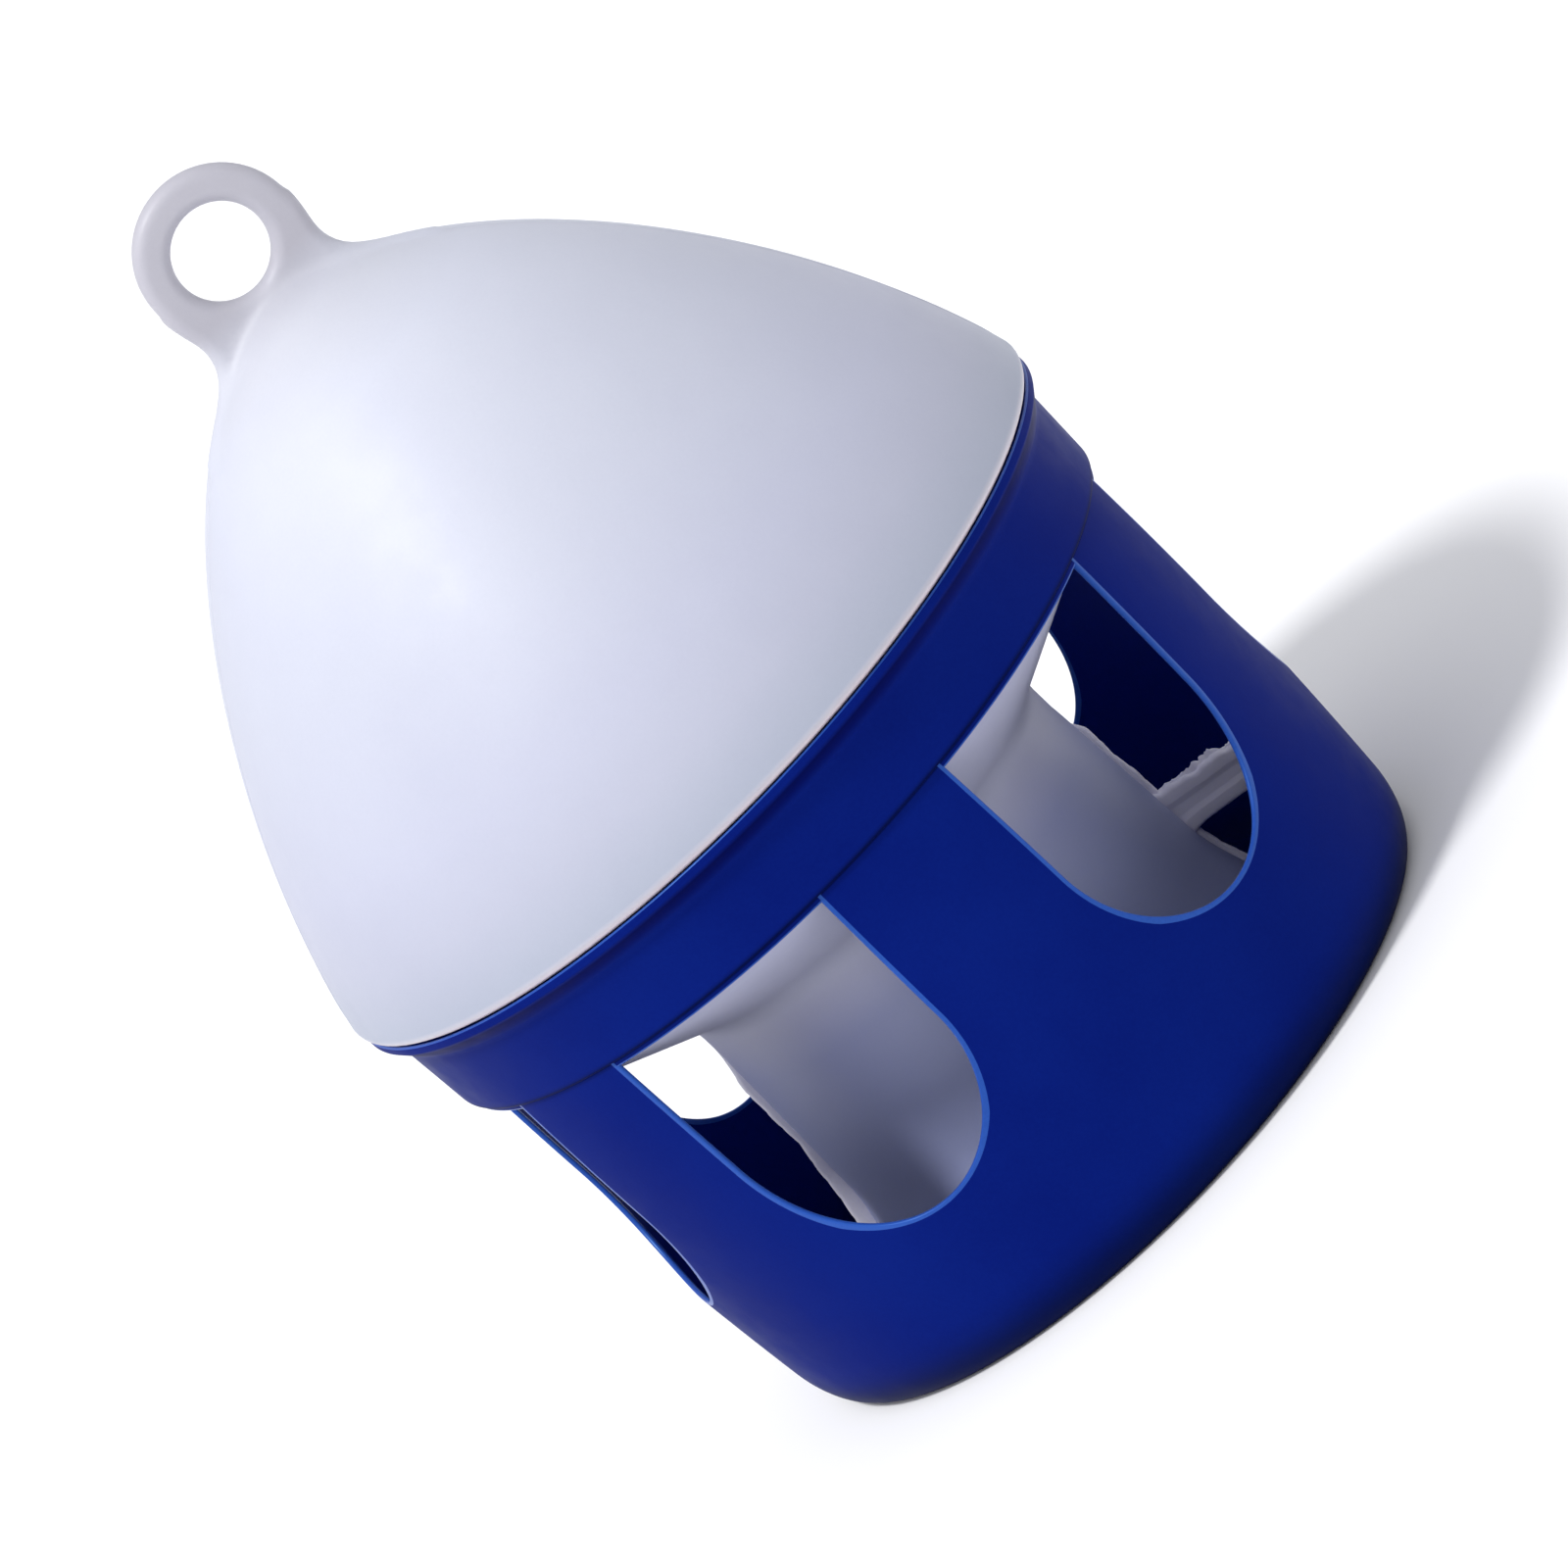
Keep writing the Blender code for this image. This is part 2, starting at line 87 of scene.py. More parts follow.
# Fins of trimmed flash down the neck
FIN_HALF = 0.00075
FIN_TIP = 0.00035  # half of the thickness at the cut edge
FLASH_LEAST = 0.0002  # the least that a fin or the wing's flash stands out
FIN_UNEVEN = 0.00035
FIN_GAP = 0.0004  # clear of the mouth
FIN_RIGHT_TOP_Z = 0.066
FIN_RIGHT_WIDTH = 0.0014
FIN_LEFT_TOP_Z = 0.0745
FIN_LEFT_WIDTH = 0.0016
FIN_LEFT_START = 0.13  # how fast the left fin widens at its top
FIN_LEFT_SPREAD_Z = 0.045
FIN_LEFT_SPREAD = 0.10  # how fast it widens again below that height

# Parting line up the dome
SEAM_START = 0.026  # distance from the axis
SEAM_STATIONS = 90
SEAM_HIGH = 0.00016
SEAM_UNEVEN = 0.00004
SEAM_SUNK = 0.00005
SEAM_HALF = (0.0007, 0.0006, 0.0002)  # half widths at its root, its foot and near its top
SEAM_ROOT = -0.0004
SEAM_FOOT = -0.00006

# Wing on bearing 90
WING_ROOT = 0.0510
WING_TIP = 0.0850
WING_TOP_Z = 0.0412
WING_LEVEL = 0.0535  # distance from the axis at which its top is at that height
WING_SLOPE = radians(11)
WING_HIGH = 0.0108
WING_RIB = 0.0030
WING_RIB_FALL = 0.0013  # from a rib's edge to the web beside it
WING_HALF = 0.0024
WING_WEB_HALF = 0.0019
WING_UNEVEN = 0.0007
WING_UNEVEN_DEPTH = 0.004  # how far below the top edge the unevenness has faded
WING_CLOSE = 0.94  # the share of its length where its tip begins to round off
FLASH_ROOT = 0.0530
FLASH_LENGTH = 0.0300
FLASH_HIGH = 0.0009
FLASH_SUNK = 0.0012

# Hanging ring
RING_Z = 0.2711
RING_HOLE_RADIUS = 0.01065
RING_RADIUS = 0.0187
RING_HALF_THICK = 0.0031
RING_ROUNDING = 0.0027
RING_FOOT_HALF = 0.0170
RING_JUNCTION = radians(35)  # below the level of the hole's middle, where the foot begins
RING_SECTION = 48  # points round the ring's section
RING_FREE_STEPS = 60
RING_FOOT_STEPS = 40
CROWN_RADIUS = 0.036  # where the crown's rows meet the turned rows
CROWN_ROWS = 16
CROWN_PEAK = 0.0022  # how far the crown is drawn up under the ring's foot
CROWN_PEAK_REACH = 0.013

# Bowl
BOWL_WALL = 0.0012
RIM_RADIUS = 0.100
RIM_TOP_Z = 0.1317
RIM_EDGE = 0.0017  # height of the lip's outer edge below the rim's top
RIM_ROOT = (0.0006, 0.0016)  # where the flare's curve begins, out from and above the collar
RIM_LEDGE = (0.0024, 0.0010)  # the rim's flat top, in from its outer edge
LIP_FACE = 0.0009  # height of the lip's outer edge that takes the painted highlight
LIP_RISE = 0.0009  # how far the lip's outer edge stands up beside the dome's edge
COLLAR_TOP = (0.0962, 0.1243)
COLLAR_LOW = (0.0954, 0.1086)
STEP_Z = 0.1071
WALL_TOP_RADIUS = 0.0944
WALL_LOW_RADIUS = 0.0901
WINDOWS = 6
WINDOW_BEARING = -26
WINDOW_TOP_HALF = 0.0299
WINDOW_SPRING_HALF = 0.0290
WINDOW_SPRING_Z = 0.0716
WINDOW_SILL_Z = 0.0391
WINDOW_TOP_Z = 0.1055
WINDOW_EDGE = 0.00045  # rounding of the cut edges
WINDOW_HIDDEN = 0.0008  # how far the panels run up behind the collar
PANEL_RADIUS = 0.092  # turns the panels' bearings into lengths
STRIP_INSET = 0.00005  # keeps the strip over the windows just under the pillars' faces
BAND_Z = 0.024  # below this the wall's rows are plain circles
CORNER_HIGH = 0.0125
BASE_RADIUS = 0.0836
FLOOR_THICK = 0.002
STAND_RADIUS = 0.0825  # where the base is flat on the ground
GATE_Z = 0.0006  # height of the moulding's gate mark, in the middle of the underside
CATCH_BEARINGS = (58, 70)
CATCH_STOP_BEARING = 60.8
CATCH_RADIUS = 0.0805
CATCH_Z = (0.0370, 0.0410)
CATCH_STOP_Z = 0.0270
CATCH_ROOT = 0.0006  # how far its root is sunk in the wall

# Camera
CAMERA_TARGET_Z = 0.103
CAMERA_DISTANCE = 2.605
CAMERA_RISE = radians(15.38)
CAMERA_ROLL = radians(-46.6)
CAMERA_LENS = 281.3


# Mesh helpers


def make_object(name, points, faces, materials, edge_highlight_faces=(), sharp=38):
    """A mesh object from points and faces, welded, with its normals out and its curves smooth."""
    bm = bmesh.new()
    verts = [bm.verts.new(p) for p in points]
    edges = set(edge_highlight_faces)
    for i, face in enumerate(faces):
        made = bm.faces.new([verts[k] for k in face])
        made.material_index = 1 if i in edges else 0
    bmesh.ops.remove_doubles(bm, verts=bm.verts, dist=2e-6)
    bmesh.ops.recalc_face_normals(bm, faces=bm.faces)
    mesh = bpy.data.meshes.new(name)
    bm.to_mesh(mesh)
    bm.free()
    mesh.shade_smooth()
    mesh.set_sharp_from_angle(angle=radians(sharp))
    obj = bpy.data.objects.new(name, mesh)
    bpy.context.scene.collection.objects.link(obj)
    for material in materials:
        mesh.materials.append(material)
    return obj


def grid_faces(rows, columns, closed=True, start=0):
    """Quads over a grid of points stored row by row, which may close on itself along each row."""
    faces = []
    for i in range(rows - 1):
        for j in range(columns if closed else columns - 1):
            k = (j + 1) % columns
            a = start + i * columns
            faces.append((a + j, a + k, a + columns + k, a + columns + j))
    return faces


def rounded(corners, steps=5):
    """An outline of (r, z) points from corners of (r, z, radius), each rounded by an arc."""
    outline = []
    for i, (r, z, radius) in enumerate(corners):
        here = Vector((r, z))
        if not radius:
            outline.append((r, z))
            continue
        before = (Vector(corners[i - 1][:2]) - here).normalized()
        after = (Vector(corners[(i + 1) % len(corners)][:2]) - here).normalized()
        half = before.angle(after) / 2
        reach = radius / tan(half)
        middle = here + (before + after).normalized() * radius / sin(half)
        first = here + before * reach - middle
        last = here + after * reach - middle
        turn = first.angle_signed(last)
        for k in range(steps + 1):
            a = -turn * k / steps
            spun = Vector((first.x * cos(a) - first.y * sin(a), first.x * sin(a) + first.y * cos(a)))
            outline.append(tuple(middle + spun))
    return outline


def turned_rows(outline, angles):
    """Points of an outline carried round Z, one row to each outline point."""
    outline = np.array(outline, float)
    ring = np.stack([np.cos(angles), np.sin(angles)], 1)
    rows = np.empty((len(outline), len(angles), 3))
    rows[:, :, :2] = outline[:, None, :1] * ring[None]
    rows[:, :, 2] = outline[:, 1:]
    return rows


def turned(name, outline, materials, steps=192, sharp=38):
    """A closed outline carried right round Z."""
    angles = np.arange(steps) * 2 * pi / steps
    rows = turned_rows(outline + outline[:1], angles)
    return make_object(
        name, rows.reshape(-1, 3), grid_faces(len(rows), steps), materials, sharp=sharp
    )


def bearing(angle, radius, height):
    """The point at a bearing in degrees, a distance from the axis and a height."""
    return Vector((radius * sin(radians(angle)), -radius * cos(radians(angle)), height))


def waver(t, seed, size):
    """A smooth uneven line, as a knife leaves it: a few waves of unrelated lengths."""
    waves = ((1.0, 2.3), (0.6, 5.1), (0.35, 11.7), (0.2, 23.9))
    return size * sum(a * sin(2 * pi * f * t + seed * (1 + 1.7 * f)) for a, f in waves) / 2


# Reservoir


def dome_outline(count, start=0.0, inset=0.0):
    """The dome's side from a radius of about start down to its widest line."""
    t = np.linspace(0, 1, 801)
    u = 1 - t
    top = DOME_TOP_Z - inset
    wide = DOME_RADIUS - inset
    r = 3 * u * u * t * DOME_TOP_PULL + 3 * u * t * t * (wide - DOME_SIDE_PULL[0]) + t**3 * wide
    z = (u**3 + 3 * u * u * t) * top
    z += 3 * u * t * t * (DOME_WIDEST_Z + DOME_SIDE_PULL[1]) + t**3 * DOME_WIDEST_Z
    if not count:
        return r, z
    first = np.interp(start, r, t)
    at = np.linspace(first, 1, count)
    return list(zip(np.interp(at, t, r), np.interp(at, t, z)))


DOME_R, DOME_Z = dome_outline(0)
DOME_FALL = np.gradient(DOME_Z, DOME_R)


def over_dome(r, z):
    """About how far a point is outside the dome's surface, near its crown."""
    fall = np.interp(r, DOME_R, DOME_FALL)
    surface = np.interp(r, DOME_R, DOME_Z) + CROWN_PEAK * np.exp(-((r / CROWN_PEAK_REACH) ** 2))
    return (z - surface) / np.sqrt(1 + fall**2)


def smooth_union(a, b, reach):
    """The nearer of two distances, blended where they are within reach of each other."""
    mix = np.maximum(reach - np.abs(a - b), 0) / reach
    return np.minimum(a, b) - mix**2 * reach / 4


def over_crown(p):
    """About how far a point is outside the crown: the dome with the ring standing on it."""
    x = np.abs(p[:, 0])
    from_hole = np.hypot(x, p[:, 2] - RING_Z)
    foot = np.maximum(x - RING_FOOT_HALF, p[:, 2] - RING_Z + 0.004)
    web = smooth_union(from_hole - RING_RADIUS, foot, 0.005)
    web = smooth_union(web, over_dome(x, p[:, 2]), 0.010)
    flat = np.maximum(web, RING_HOLE_RADIUS - from_hole) + RING_ROUNDING
    thick = np.abs(p[:, 1]) - RING_HALF_THICK + RING_ROUNDING
    ring = np.minimum(np.maximum(flat, thick), 0) - RING_ROUNDING
    ring += np.hypot(np.maximum(flat, 0), np.maximum(thick, 0))
    return smooth_union(ring, over_dome(np.hypot(p[:, 0], p[:, 1]), p[:, 2]), 0.0032)


def settle(p, times):
    """Move points on to the crown's surface."""
    step = 2e-5
    for _ in range(times):
        far = over_crown(p)
        slope = np.empty_like(p)
        for k in range(3):
            shift = np.zeros(3)
            shift[k] = step
            slope[:, k] = (over_crown(p + shift) - over_crown(p - shift)) / (2 * step)
        size = np.maximum((slope**2).sum(1), 0.2)
        p = p - slope * (far / size)[:, None]
    return p


def crown_mesh():
    """Points and faces of the ring and crown, whose last row is a circle of columns."""
    half = RING_SECTION // 2
    quarter = RING_SECTION // 4
    middle = (RING_RADIUS + RING_HOLE_RADIUS) / 2
    wide = (RING_RADIUS - RING_HOLE_RADIUS) / 2
    points = []

    def station(angle, section):
        turn = 2 * pi * section / RING_SECTION
        out = middle - wide * cos(turn)
        x, z = out * cos(angle), RING_Z + out * sin(angle)
        points.append((x, -RING_HALF_THICK * sin(turn), z))
        return len(points) - 1

    faces = []
    sweep = (pi + 2 * RING_JUNCTION) / RING_FREE_STEPS
    free = [[station(-RING_JUNCTION + sweep * i, j) for j in range(RING_SECTION)]
            for i in range(RING_FREE_STEPS + 1)]
    for near, far in zip(free, free[1:]):
        for j in range(RING_SECTION):
            k = (j + 1) % RING_SECTION
            faces.append((near[j], near[k], far[k], far[j]))
    inner = [j % RING_SECTION for j in range(-quarter, quarter + 1)]
    sweep = (pi - 2 * RING_JUNCTION) / RING_FOOT_STEPS
    foot = [[free[0][j] for j in inner]]
    foot += [[station(-RING_JUNCTION - sweep * i, j) for j in inner]
             for i in range(1, RING_FOOT_STEPS)]
    foot.append([free[-1][j] for j in inner])
    for near, far in zip(foot, foot[1:]):
        for a, b, c, d in zip(near, near[1:], far[1:], far):
            faces.append((a, b, c, d))
    loop = [free[0][j] for j in range(quarter, quarter + half)]
    loop += [row[0] for row in foot[:-1]]
    loop += [free[-1][j] for j in range(quarter + half, quarter, -1)]
    loop += [row[-1] for row in foot[:0:-1]]
    columns = len(loop)
    angles = (np.arange(columns) - quarter) * 2 * pi / columns
    rim_z = float(np.interp(CROWN_RADIUS, DOME_R, DOME_Z))
    last = loop
    for i in range(1, CROWN_ROWS + 1):
        share = (i / CROWN_ROWS) ** 1.15
        row = []
        for k, start in enumerate(loop):
            end = np.array((CROWN_RADIUS * cos(angles[k]), CROWN_RADIUS * sin(angles[k]), rim_z))
            points.append(tuple(np.array(points[start]) * (1 - share) + end * share))
            row.append(len(points) - 1)
        for k in range(columns):
            m = (k + 1) % columns
            faces.append((last[k], last[m], row[m], row[k]))
        last = row
    p = np.array(points)
    held = np.zeros(len(p), bool)
    held[last] = True
    pairs = np.array([(f[i], f[(i + 1) % 4]) for f in faces for i in range(4)])
    pairs = np.unique(np.sort(pairs, axis=1), axis=0)
    count = np.bincount(pairs.ravel(), minlength=len(p))[:, None]
    fixed = p[held].copy()
    p = settle(p, 6)
    for _ in range(40):
        total = np.zeros_like(p)
        np.add.at(total, pairs[:, 0], p[pairs[:, 1]])
        np.add.at(total, pairs[:, 1], p[pairs[:, 0]])
        p = p * 0.5 + 0.5 * total / count
        p = settle(p, 2)
        p[held] = fixed
    p = settle(p, 10)
    p[held] = fixed
    return p, faces, last, angles


def neck_radius(z):
    """The neck's outer radius at a height: it widens a little, then flares to its mouth."""
    if z > NECK_FLARE_Z:
        down = (NECK_TOP_Z - z) / (NECK_TOP_Z - NECK_FLARE_Z)
        return NECK_TOP_RADIUS + (NECK_LOW_RADIUS - NECK_TOP_RADIUS) * down
    down = (NECK_FLARE_Z - z) / (NECK_FLARE_Z - MOUTH_Z)
    return NECK_LOW_RADIUS + (MOUTH_RADIUS - NECK_LOW_RADIUS) * down**NECK_FLARE_BEND


def reservoir_side():
    """The outer outline from the dome's widest line down to the mouth."""
    r, z = SHOULDER_TOP
    foot = NECK_TOP_RADIUS + 0.0002
    edge = [
        (DOME_RADIUS, DOME_WIDEST_Z, 0), (*DOME_EDGE, 0.0016),
        (DOME_UNDER_RADIUS, DOME_FLOOR_Z, 0.0005), (SKIRT_RADIUS, DOME_FLOOR_Z, 0.001),
        (SKIRT_RADIUS, SKIRT_FADE_Z, 0), (r, z, 0.004),
        (foot, z - (r - foot) * tan(SHOULDER_SLOPE), 0.008), (foot, NECK_FOOT_Z, 0),
    ]
    neck = [(neck_radius(h), h) for h in np.linspace(NECK_ROWS_Z, MOUTH_Z, NECK_ROWS)]
    return rounded(edge, 6)[1:] + neck


def reservoir_inside():
    """The inner outline from the mouth up to the middle of the dome."""
    r, z = SHOULDER_TOP
    inner = SKIRT_RADIUS - WALL
    foot = NECK_TOP_RADIUS - WALL
    lift = WALL / cos(SHOULDER_SLOPE)
    neck = [(neck_radius(h) - WALL, h) for h in np.linspace(MOUTH_Z, NECK_ROWS_Z, NECK_ROWS)]
    side = [
        (foot, NECK_FOOT_Z, 0), (foot, z + lift - (r - foot) * tan(SHOULDER_SLOPE), 0.009),
        (inner, z + lift - WALL * tan(SHOULDER_SLOPE), 0.003), (inner, DOME_FLOOR_Z, 0.001),
        (DOME_INNER_RADIUS, DOME_FLOOR_Z + WALL, 0.001), (DOME_RADIUS - WALL, DOME_WIDEST_Z, 0),
    ]
    dome = dome_outline(36, 0.0, WALL)[::-1]
    return neck + rounded(side, 4) + dome[1:-1]


def make_reservoir(material):
    """The whole white moulding but for its wing, fins and mouth bead, as one closed wall."""
    points, faces, last, angles = crown_mesh()
    columns = len(last)
    dome = dome_outline(52, CROWN_RADIUS)[1:]
    outline = dome + reservoir_side() + reservoir_inside()
    rows = turned_rows(outline, angles)
    heights = np.array(outline)[:, 1]
    inner_from = len(dome) + len(reservoir_side())
    base = len(points)
    at = radians(OUTLET_BEARING - 90)
    middle = int(round(((at - angles[0]) % (2 * pi)) / (2 * pi / columns))) % columns
    span = OUTLET_HALF_COLUMNS
    notch = {(middle + k) % columns for k in range(-span, span)}
    outer_open = [i for i in range(len(outline) - 1)
                  if i < inner_from - 1 and max(heights[i], heights[i + 1]) < OUTLET_TOP_Z]
    inner_open = [i for i in range(len(outline) - 1)
                  if i >= inner_from and max(heights[i], heights[i + 1]) < OUTLET_TOP_Z]
    inner_open = inner_open[:len(outer_open)]
    opened = set(outer_open) | set(inner_open) | {inner_from - 1}

    def at_row(i, j):
        return base + i * columns + j % columns

    for j in range(columns):
        k = (j + 1) % columns
        faces.append((last[j], last[k], at_row(0, k), at_row(0, j)))
    for i in range(len(outline) - 1):
        for j in range(columns):
            if not (i in opened and j in notch):
                faces.append((at_row(i, j), at_row(i, j + 1), at_row(i + 1, j + 1),
                              at_row(i + 1, j)))
    left, right = (middle - span) % columns, (middle + span) % columns
    top_out, top_in = outer_open[0], inner_open[-1] + 1
    for j in range(left, left + 2 * span):
        faces.append((at_row(top_out, j), at_row(top_out, j + 1), at_row(top_in, j + 1),
                      at_row(top_in, j)))
    pairs = list(zip(range(top_out, inner_from), range(top_in, inner_from - 1, -1)))
    for (a, b), (c, d) in zip(pairs, pairs[1:]):
        for j in (left, right):
            faces.append((at_row(a, j), at_row(c, j), at_row(d, j), at_row(b, j)))
    points = np.concatenate([points, rows.reshape(-1, 3)])
    apex = len(points)
    points = np.concatenate([points, [[0, 0, DOME_TOP_Z - WALL]]])
    end = len(outline) - 1
    for j in range(columns):
        faces.append((at_row(end, j), at_row(end, j + 1), apex))
    return make_object("reservoir_shell", points, faces, [material])


def loft(name, rings, materials, sharp=50):
    """A closed body through rings of equal point counts, capped at both ends."""
    count = len(rings[0])
    points = [p for ring in rings for p in ring]
    faces = grid_faces(len(rings), count)
    faces.append(tuple(range(count)))
    faces.append(tuple(range(len(points) - count, len(points)))[::-1])
    return make_object(name, points, faces, materials, sharp=sharp)


def make_fin(name, side, top_z, root_width, material, seed):
    """The thin fin of trimmed flash down one side of the neck, with a knife's uneven edge."""
    rings = []
    steps = 60
    half = FIN_HALF
    tip = FIN_TIP
    for i in range(steps + 1):
        z = top_z + (MOUTH_Z + FIN_GAP - top_z) * i / steps
        fade = min(i / 3, 1)
        width = max(root_width(z) + waver(i / steps, seed, FIN_UNEVEN), FLASH_LEAST)
        reach = neck_radius(z) + width * fade
        root = neck_radius(z) - WALL * 0.6
        ring = [(root, -half), (reach - 0.0007, -half), (reach - 0.0002, -tip - 0.0001),
                (reach, -tip * 0.5), (reach, tip * 0.5), (reach - 0.0002, tip + 0.0001),
                (reach - 0.0007, half), (root, half)]
        rings.append([(side * x, y, z) for x, y in ring])
    return loft(name, rings, [material])


def right_fin_width(z):
    return FIN_RIGHT_WIDTH


def left_fin_width(z):
    upper = min(FIN_LEFT_WIDTH, FIN_LEFT_START * (FIN_LEFT_TOP_Z - z))
    return upper + max(FIN_LEFT_SPREAD * (FIN_LEFT_SPREAD_Z - z), 0)


def make_seam(name, side, material):
    """The faint raised parting line down one side of the dome."""
    outline = dome_outline(SEAM_STATIONS, SEAM_START)
    final = len(outline) - 1
    wide, foot, near = SEAM_HALF
    rings = []
    for i, (r, z) in enumerate(outline):
        before = outline[max(i - 1, 0)]
        after = outline[min(i + 1, final)]
        along = Vector((after[0] - before[0], after[1] - before[1])).normalized()
        out = Vector((-along.y, along.x))
        fade = min(i / 8, 1, (final - i) / 3)
        high = (SEAM_HIGH + waver(i / final, side + 2, SEAM_UNEVEN)) * fade - SEAM_SUNK * (1 - fade)
        ring = []
        for across, up in ((-wide, SEAM_ROOT), (-foot, SEAM_FOOT), (-near, high * 0.8), (0, high),
                           (near, high * 0.8), (foot, SEAM_FOOT), (wide, SEAM_ROOT)):
            ring.append((side * (r + out.x * up), across, z + out.y * up))
        rings.append(ring)
    return loft(name, rings, [material])


def wing_drop(x):
    """How far the wing has sloped down at a distance from the axis."""
    return (x - WING_LEVEL) * tan(WING_SLOPE)


def wing_unevenness(x):
    """How far the wing's trimmed top edge is out of true at a distance from the axis."""
    return waver((x - WING_ROOT) / (WING_TIP - WING_ROOT) * 1.6, 0.7, WING_UNEVEN)


def make_wing(material):
    """The wing beside the neck, with a rib along its top edge and another along its bottom."""
    half = WING_HALF
    web = WING_WEB_HALF
    low = -WING_HIGH
    rib_low = -WING_RIB
    rib_high = low + WING_RIB
    corners = [(-half, 0, 0.0010), (half, 0, 0.0010), (half, rib_low, 0.0008),
               (web, rib_low - WING_RIB_FALL, 0.0010), (web, rib_high + WING_RIB_FALL, 0.0010),
               (half, rib_high, 0.0008), (half, low, 0.0010), (-half, low, 0.0010),
               (-half, rib_high, 0.0008), (-web, rib_high + WING_RIB_FALL, 0.0010),
               (-web, rib_low - WING_RIB_FALL, 0.0010), (-half, rib_low, 0.0008)]
    section = rounded(corners, 3)
    middle = low / 2
    rings = []
    steps = 40
    for i in range(steps + 1):
        share = i / steps
        x = WING_ROOT + (WING_TIP - WING_ROOT) * share
        swell = 1 + 0.35 * max(0, 1 - share * 5) ** 2
        close = 1.0
        if share >= WING_CLOSE:
            close = max(1 - ((share - WING_CLOSE) / 0.065) ** 2, 0.0) ** 0.5
        ring = []
        for y, z in section:
            uneven = wing_unevenness(x) * max(0, 1 + z / WING_UNEVEN_DEPTH)
            height = middle + (z - middle) * (0.45 + 0.55 * close) * swell + uneven * close
            across = y * close * (1 + 0.25 * (swell - 1))
            ring.append((x, across, WING_TOP_Z + height - wing_drop(x)))
        rings.append(ring)
    return loft("locking_wing_shell", rings, [material], sharp=60)


def make_flash(material):
    """The ragged thin line of flash left along the wing's top edge."""
    rings = []
    steps = 70
    for i in range(steps + 1):
        share = i / steps
        x = FLASH_ROOT + FLASH_LENGTH * share
        base = WING_TOP_Z - wing_drop(x) + wing_unevenness(x)
        ends = min(share * 8, (1 - share) * 10, 1)
        ragged = waver(share, 3.1, FLASH_HIGH) + waver(share * 3, 1.3, FLASH_HIGH / 3)
        high = max(FLASH_HIGH + ragged, FLASH_LEAST) * ends
        half = 0.0004 + 0.0001 * sin(share * 40)
        shift = 0.0003 * sin(share * 17)
        rings.append([(x, -half * 1.6, base - FLASH_SUNK), (x, shift - half, base + high * 0.7),
                      (x, shift, base + high), (x, shift + half, base + high * 0.7),
                      (x, half * 1.6, base - FLASH_SUNK)])
    return loft("wing_flash", rings, [material])


def make_bead(material):
    """The thickened bead round the mouth."""
    top = MOUTH_Z - BEAD_GAP
    bottom = top - BEAD_HEIGHT
    outside = MOUTH_RADIUS + BEAD_BULGE
    inside = outside - BEAD_WIDTH
    corners = [(outside, top, 0.0008), (outside, bottom, 0.0014), (inside, bottom, 0.0012),
               (inside, top, 0.0008)]
    return turned("mouth_bead", rounded(corners, 6), [material])


# Bowl


def wall_radius(z):
    """The outer radius of the bowl's wall, upright at the top and drawn in towards the base."""
    down = (STEP_Z - z) / (STEP_Z - CORNER_HIGH)
    return WALL_TOP_RADIUS - (WALL_TOP_RADIUS - WALL_LOW_RADIUS) * down**2


def base_curve(side, low, steps):
    """Points round the base's corner, from the wall's foot to level at the base's radius."""
    lean = 2 * (WALL_TOP_RADIUS - WALL_LOW_RADIUS) / (STEP_Z - CORNER_HIGH)
    high = CORNER_HIGH - low
    wide = side - BASE_RADIUS - lean * high
    points = []
    for i in range(steps + 1):
        angle = pi / 2 * i / steps
        drop = high * sin(angle)
        points.append((side - wide * (1 - cos(angle)) - lean * drop, CORNER_HIGH - drop))
    return points


def window_stations():
    """Points round half of a window's edge, from its top corner down to the middle of its sill:
    (bearing from the window's middle, height), the direction into the window, and the point on
    the outside of the window's panel that each one's row of faces runs to."""
    across = pi / WINDOWS * PANEL_RADIUS
    stations = []
    top = STEP_Z + WINDOW_HIDDEN
    for i in range(14):
        z = top + (WINDOW_SPRING_Z - top) * i / 14
        share = (z - WINDOW_SPRING_Z) / (STEP_Z - WINDOW_SPRING_Z)
        half = WINDOW_SPRING_HALF + (WINDOW_TOP_HALF - WINDOW_SPRING_HALF) * share
        angle = np.arcsin(half / wall_radius(z))
        stations.append(((angle * PANEL_RADIUS, z), (-1, 0), (across, z)))
    steps = 36
    drop = WINDOW_SPRING_Z - WINDOW_SILL_Z
    down = WINDOW_SPRING_Z - BAND_Z
    for i in range(steps + 1):
        a = pi / 2 * i / steps
        z = WINDOW_SPRING_Z - drop * sin(a)
        angle = np.arcsin(WINDOW_SPRING_HALF * cos(a) / wall_radius(z))
        into = (-cos(a) / WINDOW_SPRING_HALF, sin(a) / drop)
        size = hypot(*into)
        along = (down + across) * i / steps
        if along <= down:
            far = (across, WINDOW_SPRING_Z - along)
        else:
            far = (across - (along - down), BAND_Z)
        into = (into[0] / size, into[1] / size)
        stations.append(((angle * PANEL_RADIUS, z), into, far))
    snap = min(range(len(stations)), key=lambda k: hypot(
        stations[k][2][0] - across, stations[k][2][1] - BAND_Z))
    stations[snap] = (*stations[snap][:2], (across, BAND_Z))
    return stations, snap


